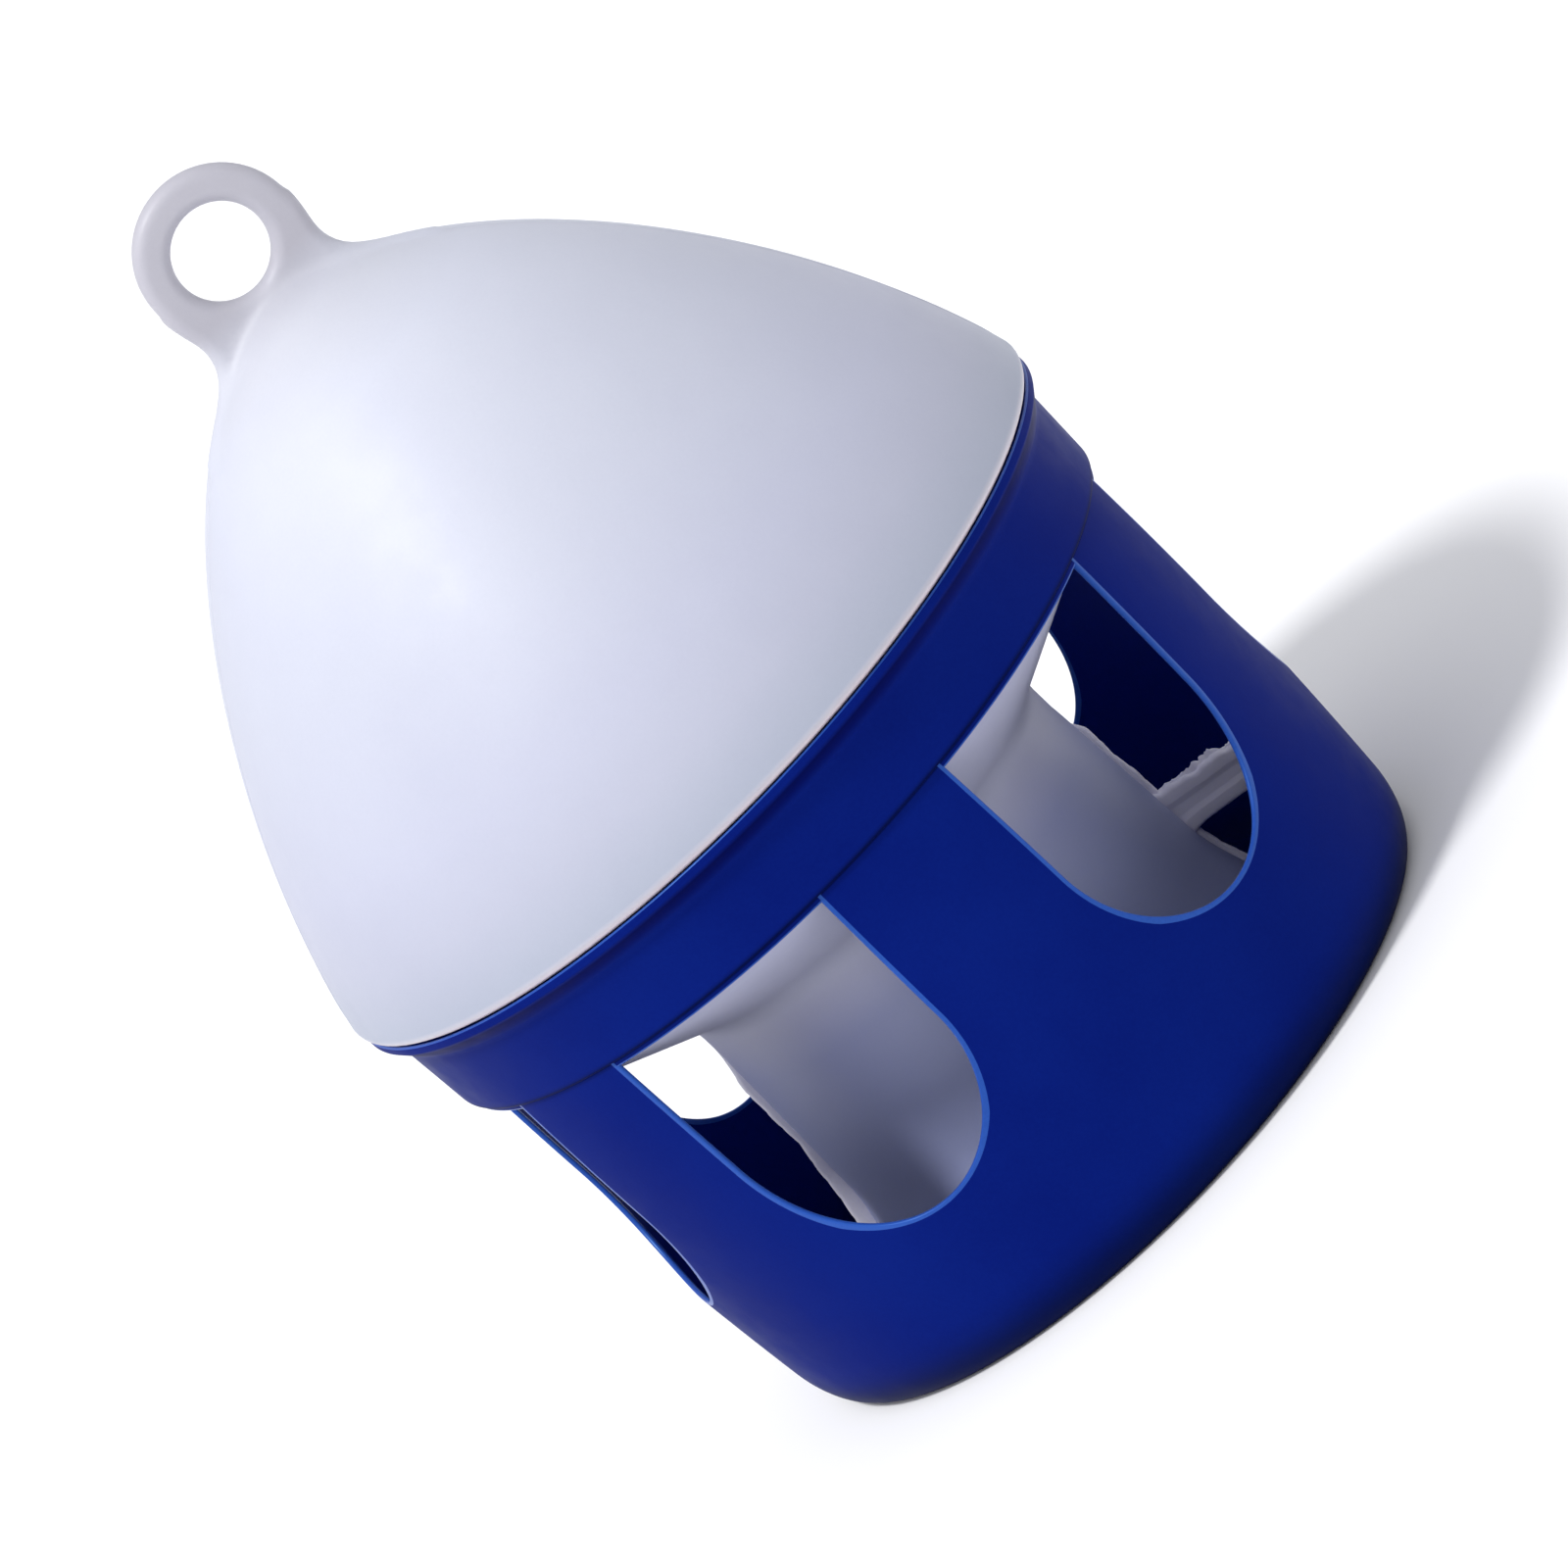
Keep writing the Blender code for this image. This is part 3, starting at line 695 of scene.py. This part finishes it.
def make_bowl_wall(materials):
    """The windowed wall, the trough wall and the floor, as one closed wall with rounded cuts."""
    stations, snap = window_stations()
    shares = [(k / 10) ** 1.5 for k in range(11)]
    turns = [radians(a) for a in (0, 22, 45, 68, 90)]
    points = []
    faces = []
    edge_highlight_faces = []
    for window in range(WINDOWS):
        middle = radians(WINDOW_BEARING + window * 360 / WINDOWS)
        for mirror in (1, -1):
            base = len(points)
            for (a, z), into, far in stations:
                start = (a - into[0] * WINDOW_EDGE, z - into[1] * WINDOW_EDGE)
                outer = [(start[0] + (far[0] - start[0]) * s, start[1] + (far[1] - start[1]) * s, 0)
                         for s in shares[::-1]]
                fillet = []
                for t in turns[1:]:
                    back = WINDOW_EDGE * (1 - sin(t))
                    deep = WINDOW_EDGE * (1 - cos(t))
                    fillet.append((a - into[0] * back, z - into[1] * back, deep))
                line = outer + fillet
                line += [(u, v, BOWL_WALL - deep) for u, v, deep in line[::-1]]
                for u, v, deep in line:
                    angle = middle + mirror * u / PANEL_RADIUS
                    radius = wall_radius(v) - deep
                    points.append((radius * sin(angle), -radius * cos(angle), v))
            count = len(line)
            first = len(faces)
            faces += grid_faces(len(stations), count, closed=False, start=base)
            # Painted highlight: the faces round each window's rounded cut take the edge material's
            # brighter blue.
            low = len(outer) - 1
            high = count - len(outer)
            for i in range(first, len(faces)):
                column = (i - first) % (count - 1)
                if low - 1 <= column <= high:
                    edge_highlight_faces.append(i)
            for m in range(count // 2 - 1):
                faces.append((base + m, base + m + 1, base + count - 2 - m, base + count - 1 - m))
    angles = []
    for window in range(WINDOWS):
        middle = radians(WINDOW_BEARING + window * 360 / WINDOWS)
        half = {round(far[0] / PANEL_RADIUS, 9) for _, _, far in stations[snap:]}
        both = sorted({-a for a in half} | half)
        angles += [middle + a - pi / 2 for a in both[:-1]]
    angles = np.array(angles)
    outer = [(wall_radius(z), z) for z in np.linspace(BAND_Z, CORNER_HIGH, 6)]
    low = wall_radius(CORNER_HIGH)
    outer += base_curve(low, 0, 14)[1:]
    under = [(0.0780, 0, 0), (0.0700, 0, 0.0006), (0.0690, 0.0005, 0.0006), (0.0500, 0.0005, 0),
             (0.0260, 0.0005, 0), (0.0060, 0.0005, 0.0004), (0.0055, 0.0001, 0.0003),
             (0.0030, 0.0001, 0.0003), (0.0027, GATE_Z, 0.0002), (0.0012, GATE_Z, 0)]
    outer += rounded([(STAND_RADIUS, 0, 0)] + under, 3)
    inner = [(0.0015, FLOOR_THICK), (0.0300, FLOOR_THICK), (0.0600, FLOOR_THICK)]
    inner += base_curve(low - BOWL_WALL, FLOOR_THICK, 10)[::-1]
    inner += [(wall_radius(z) - BOWL_WALL, z) for z in np.linspace(CORNER_HIGH, BAND_Z, 6)[1:]]
    for outline, pole in ((outer, GATE_Z), (inner, FLOOR_THICK)):
        rows = turned_rows(outline, angles)
        base = len(points)
        points += [tuple(p) for p in rows.reshape(-1, 3)]
        faces += grid_faces(len(rows), len(angles), start=base)
        row = base + (0 if outline is inner else (len(rows) - 1) * len(angles))
        points.append((0, 0, pole))
        for j in range(len(angles)):
            faces.append((row + j, row + (j + 1) % len(angles), len(points) - 1))
    return make_object("bowl_wall", points, faces, materials, edge_highlight_faces)


def make_bowl_collar(materials):
    """The collar with its flared lip, and the ledge that steps in over the windows."""
    inner_low = COLLAR_LOW[0] - BOWL_WALL
    inner_top = COLLAR_TOP[0] - BOWL_WALL
    strip_out = WALL_TOP_RADIUS - STRIP_INSET
    strip_in = WALL_TOP_RADIUS - BOWL_WALL + STRIP_INSET
    corners = [
        (RIM_RADIUS, RIM_TOP_Z + LIP_RISE, 0.0005), (RIM_RADIUS, RIM_TOP_Z - RIM_EDGE, 0.0006),
        (COLLAR_TOP[0] + RIM_ROOT[0], COLLAR_TOP[1] + RIM_ROOT[1], 0.0022), (*COLLAR_TOP, 0),
        (*COLLAR_LOW, 0), (COLLAR_LOW[0] - 0.0001, STEP_Z, 0.0007), (strip_out, STEP_Z, 0),
        (strip_out, WINDOW_TOP_Z, WINDOW_EDGE), (strip_in, WINDOW_TOP_Z, WINDOW_EDGE),
        (strip_in, STEP_Z + BOWL_WALL, 0.0004), (inner_low, STEP_Z + BOWL_WALL, 0.0008),
        (inner_top, COLLAR_TOP[1], 0.003), (RIM_RADIUS - RIM_LEDGE[0], RIM_TOP_Z, 0.0005),
        (RIM_RADIUS - RIM_LEDGE[1], RIM_TOP_Z, 0.0003),
    ]
    collar = turned("bowl_collar_and_lip", rounded(corners, 6), materials, steps=216)
    # Painted highlight: the lip's outer edge and the strip over the windows take the edge material's
    # brighter blue.
    for face in collar.data.polygons:
        x, y, z = face.center
        lip = z > RIM_TOP_Z + LIP_RISE - LIP_FACE and hypot(x, y) > RIM_RADIUS - LIP_FACE
        face.material_index = int(lip or z < WINDOW_TOP_Z + WINDOW_EDGE)
    return collar


def make_catch(material):
    """The catch inside the wall that the wing turns under, with the stop at its far end."""
    start, end = CATCH_BEARINGS
    catch_low, high = CATCH_Z
    outside = wall_radius((CATCH_STOP_Z + high) / 2) - BOWL_WALL + CATCH_ROOT
    rings = []
    for i in range(17):
        angle = start + (end - start) * i / 16
        low = CATCH_STOP_Z if angle < CATCH_STOP_BEARING else catch_low
        corners = [(CATCH_RADIUS, high, 0.0006), (outside, high, 0), (outside, low, 0),
                   (CATCH_RADIUS, low, 0.0006)]
        rings.append([bearing(angle, r, z) for r, z in rounded(corners, 4)])
    return loft("locking_catch_shell", rings, [material], sharp=40)


# Materials


def add(tree, kind, **values):
    """A new node, with its inputs or its own settings given by name."""
    node = tree.nodes.new(kind)
    for key, value in values.items():
        if key in node.inputs:
            node.inputs[key].default_value = value
        else:
            setattr(node, key, value)
    return node


def noise(tree, scale, detail, roughness):
    """A noise in the object's own metres."""
    where = add(tree, "ShaderNodeTexCoord")
    node = add(tree, "ShaderNodeTexNoise", Scale=scale, Detail=detail, Roughness=roughness)
    tree.links.new(where.outputs["Object"], node.inputs["Vector"])
    return node.outputs["Fac"]


def spread(tree, source, low, high, start=0.3, end=0.7):
    """A value carried from one range to another."""
    node = add(tree, "ShaderNodeMapRange")
    for key, value in (("From Min", start), ("From Max", end), ("To Min", low), ("To Max", high)):
        node.inputs[key].default_value = value
    tree.links.new(source, node.inputs["Value"])
    return node.outputs["Result"]


def tint(tree, source, dark, light):
    """A colour between two others."""
    node = add(tree, "ShaderNodeMix", data_type="RGBA")
    node.inputs[6].default_value = (*dark, 1)
    node.inputs[7].default_value = (*light, 1)
    tree.links.new(source, node.inputs[0])
    return node.outputs[2]


def bump(tree, height, distance, below=None):
    """A relief a distance deep, on top of another one where it is given."""
    node = add(tree, "ShaderNodeBump", Distance=distance, Strength=1.0)
    tree.links.new(height, node.inputs["Height"])
    if below:
        tree.links.new(below, node.inputs["Normal"])
    return node.outputs["Normal"]


def by_height(tree, painted_shading_stops):
    """A colour that changes up the drinker, from pairs of a height and a colour: painted light and
    shade by height.
    """
    where = add(tree, "ShaderNodeTexCoord")
    split = add(tree, "ShaderNodeSeparateXYZ")
    tree.links.new(where.outputs["Object"], split.inputs[0])
    top = painted_shading_stops[-1][0]
    ramp = tree.nodes.new("ShaderNodeValToRGB")
    elements = ramp.color_ramp.elements
    for _ in painted_shading_stops[2:]:
        elements.new(0.5)
    for element, (height, colour) in zip(elements, painted_shading_stops):
        element.position = height / top
        element.color = (*colour, 1)
    tree.links.new(spread(tree, split.outputs["Z"], 0, 1, 0, top), ramp.inputs[0])
    return ramp.outputs[0]


def plastic(name, dark, light, rough, sockets, grain, ripple, painted_shading_stops=None):
    """Moulded plastic: cloudy pigment, a fine grain, and the slow ripple of the mould. The grain and
    the ripple are each a noise's scale and its depth, and stops are what by_height takes to paint
    light and shade."""
    material = bpy.data.materials.new(name)
    material.use_nodes = True
    tree = material.node_tree
    shader = tree.nodes["Principled BSDF"]
    for key, value in sockets.items():
        shader.inputs[key].default_value = value
    cloud = noise(tree, 22, 5.0, 0.55)
    speck = noise(tree, 1400, 2.0, 0.5)
    both = add(tree, "ShaderNodeMix", data_type="FLOAT")
    both.inputs[0].default_value = 0.3
    tree.links.new(cloud, both.inputs[2])
    tree.links.new(speck, both.inputs[3])
    shade = spread(tree, both.outputs[0], 0, 1, 0.36, 0.64)
    colour = tint(tree, shade, dark, light)
    # Painted light and shade by height, multiplied over the pigment.
    if painted_shading_stops:
        shaded = add(tree, "ShaderNodeMix", data_type="RGBA", blend_type="MULTIPLY")
        shaded.inputs[0].default_value = 1
        tree.links.new(by_height(tree, painted_shading_stops), shaded.inputs[6])
        tree.links.new(colour, shaded.inputs[7])
        colour = shaded.outputs[2]
    tree.links.new(colour, shader.inputs["Base Color"])
    patch = noise(tree, 90, 3.0, 0.6)
    tree.links.new(spread(tree, patch, rough[0], rough[1]), shader.inputs["Roughness"])
    slow = bump(tree, noise(tree, ripple[0], 2.0, 0.4), ripple[1])
    fine = bump(tree, noise(tree, grain[0], 3.0, 0.6), grain[1], slow)
    tree.links.new(fine, shader.inputs["Normal"])
    return material


def white_plastic():
    """Milky polyethylene, with light and shade painted by height: painted light up the dome, painted
    blue-lit shade inside the bowl and painted grey shade at the ring.
    """
    sockets = {"IOR": 1.50, "Specular IOR Level": 0.5, "Subsurface Weight": 0.25,
               "Subsurface Radius": (0.9, 0.95, 1.0), "Subsurface Scale": 0.004}
    # Painted light and shade by height: blue-lit painted shade inside the bowl, a lighter painted
    # band over the shoulder's fillet shadow, a brighter warm line along the dome's lower edge with a
    # darker band just above it, the dome painted lighter towards its top, and painted grey shade at
    # the ring.
    painted_shading_stops = [
        (0.000, (0.39, 0.43, 0.70)), (0.050, (0.39, 0.43, 0.68)), (0.066, (0.38, 0.41, 0.64)),
        (0.0765, (0.49, 0.50, 0.67)), (0.081, (0.55, 0.56, 0.71)), (0.086, (0.50, 0.51, 0.66)),
        (0.1315, (0.47, 0.48, 0.62)), (0.1319, (0.82, 0.70, 0.70)),
        (0.1333, (0.80, 0.69, 0.70)), (0.1339, (0.38, 0.41, 0.50)), (0.150, (0.46, 0.475, 0.58)),
        (0.166, (0.50, 0.515, 0.63)), (0.200, (0.55, 0.57, 0.67)), (0.238, (0.61, 0.63, 0.73)),
        (0.252, (0.58, 0.59, 0.66)), (0.262, (0.45, 0.44, 0.49)), (0.290, (0.48, 0.47, 0.52)),
    ]
    return plastic("white_polyethylene", (0.96, 0.96, 0.97), (1.0, 1.0, 1.0), (0.44, 0.54),
                   sockets, (900, 0.00002), (70, 0.00010), painted_shading_stops)


def white_trimmed():
    """The same polyethylene where it was pinched and trimmed, with a duller surface; its lilac tint
    is painted light from the blue bowl, and it is lighter as it takes none of the painted shade by
    height.
    """
    sockets = {"IOR": 1.50, "Specular IOR Level": 0.4}
    # Painted light: a lilac tint standing in for the bowl's blue light.
    return plastic("white_trimmed_flash", (0.88, 0.86, 1.0), (0.94, 0.92, 1.0), (0.48, 0.60),
                   sockets, (1500, 0.00003), (260, 0.00006))


def blue_plastic():
    """Deep blue polypropylene, with painted shade where it turns under the lip, the step and the
    base.
    """
    sockets = {"IOR": 1.07, "Specular IOR Level": 0.5}
    # Painted shade by height: darker round the base's corner, a painted shadow under the step, and a
    # dark painted band under the lip's flare.
    painted_shading_stops = [
        (0.000, (0.55, 0.42, 0.28)), (0.005, (0.70, 0.58, 0.46)), (0.0110, (1.0, 0.92, 0.88)),
        (0.0150, (1, 1, 1)), (0.1066, (1, 1, 1)), (0.1070, (0.6, 0.45, 0.38)),
        (0.1077, (0.6, 0.45, 0.38)), (0.1082, (1, 1, 1)), (0.1258, (1, 1, 1)),
        (0.1274, (0.42, 0.42, 0.62)), (0.1292, (0.25, 0.25, 0.42)), (0.1299, (1, 1, 1)),
        (0.1317, (1, 1, 1)),
    ]
    return plastic("blue_polypropylene", (0.0014, 0.0085, 0.140), (0.0020, 0.0120, 0.165),
                   (0.38, 0.48), sockets, (1300, 0.000012), (60, 0.00006), painted_shading_stops)


def blue_edge_highlight():
    """The bowl's trimmed and moulded edges, painted a brighter blue as a highlight."""
    sockets = {"IOR": 1.49, "Specular IOR Level": 0.5, "Specular Tint": (0.3, 0.6, 1.0, 1)}
    # Painted highlight: the edges are a brighter blue than the bowl, standing in for light on them.
    return plastic("blue_edge_painted_highlight", (0.010, 0.050, 0.30), (0.017, 0.072, 0.38),
                   (0.28, 0.38), sockets, (1800, 0.00002), (200, 0.00005))


def stage_floor():
    """A seamless pale floor, much wider than the view."""
    bpy.ops.mesh.primitive_plane_add(size=30)
    floor = bpy.context.object
    floor.name = "studio_floor"
    material = bpy.data.materials.new("studio_floor")
    material.use_nodes = True
    shader = material.node_tree.nodes["Principled BSDF"]
    shader.inputs["Base Color"].default_value = (0.93, 0.93, 0.94, 1)
    shader.inputs["Roughness"].default_value = 0.9
    shader.inputs["Specular IOR Level"].default_value = 0.1
    floor.data.materials.append(material)


def sun(name, towards, spread_angle, strength):
    """A soft light from one direction, as even as a ceiling of lamps over a wide floor."""
    data = bpy.data.lights.new(name, "SUN")
    data.angle = radians(spread_angle)
    data.energy = strength
    obj = bpy.data.objects.new(name, data)
    bpy.context.scene.collection.objects.link(obj)
    obj.location = towards
    obj.rotation_euler = (-obj.location).to_track_quat("-Z", "Y").to_euler()


def make_lights():
    """An even pale studio, with its lamps high on the left."""
    world = bpy.data.worlds.new("studio")
    bpy.context.scene.world = world
    world.use_nodes = True
    background = world.node_tree.nodes["Background"]
    background.inputs["Color"].default_value = (0.95, 0.96, 1.0, 1)
    background.inputs["Strength"].default_value = 0.60
    sun("key", (-0.37, -0.36, 0.857), 9, 2.0)
    sun("ceiling", (-0.55, -0.25, 0.80), 110, 0.7)


def make_camera():
    """A long lens a little above the drinker, rolled so that the drinker leans to the left."""
    data = bpy.data.cameras.new("camera")
    data.sensor_width = 36
    data.lens = CAMERA_LENS
    data.clip_end = 50
    camera = bpy.data.objects.new("camera", data)
    bpy.context.scene.collection.objects.link(camera)
    target = Vector((0, 0, CAMERA_TARGET_Z))
    camera.location = target + CAMERA_DISTANCE * Vector((0, -cos(CAMERA_RISE), sin(CAMERA_RISE)))
    look = (target - camera.location).to_track_quat("-Z", "Y").to_matrix().to_4x4()
    roll = Matrix.Rotation(CAMERA_ROLL, 4, "Z")
    camera.rotation_euler = (look @ roll).to_euler()
    bpy.context.scene.camera = camera


def main():
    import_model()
    make_camera()
    make_lights()
    stage_floor()
    bpy.context.scene.view_settings.view_transform = "Standard"
    white = white_plastic()
    trimmed = white_trimmed()
    blue = blue_plastic()
    edge = blue_edge_highlight()
    reservoir = make_reservoir(white)
    wing = make_wing(trimmed)
    extras = [
        make_fin("neck_fin_right", 1, FIN_RIGHT_TOP_Z, right_fin_width, trimmed, 0.4),
        make_fin("neck_fin_left", -1, FIN_LEFT_TOP_Z, left_fin_width, trimmed, 2.2),
        make_seam("dome_seam_right", 1, white),
        make_seam("dome_seam_left", -1, white),
        make_flash(trimmed),
    ]
    bead = make_bead(white)
    wall = make_bowl_wall([blue, edge])
    collar = make_bowl_collar([blue, edge])
    catch = make_catch(blue)
    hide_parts("reservoir_dome", "hanging_ring", "reservoir_skirt",
                "reservoir_shoulder", "reservoir_neck")
    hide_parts("locking_wing")
    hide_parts("neck_mouth_rim")
    pillars = [f"bowl_pillar_{i}" for i in range(1, WINDOWS + 1)]
    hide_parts(*pillars, "bowl_trough_wall", "bowl_base_corner", "bowl_floor")
    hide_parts("bowl_rim", "bowl_collar")
    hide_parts("locking_catch")
    for piece in (reservoir, wing, *extras):
        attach(piece, "reservoir")
    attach(bead, "mouth_ring")
    for piece in (wall, collar, catch):
        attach(piece, "bowl")


main()
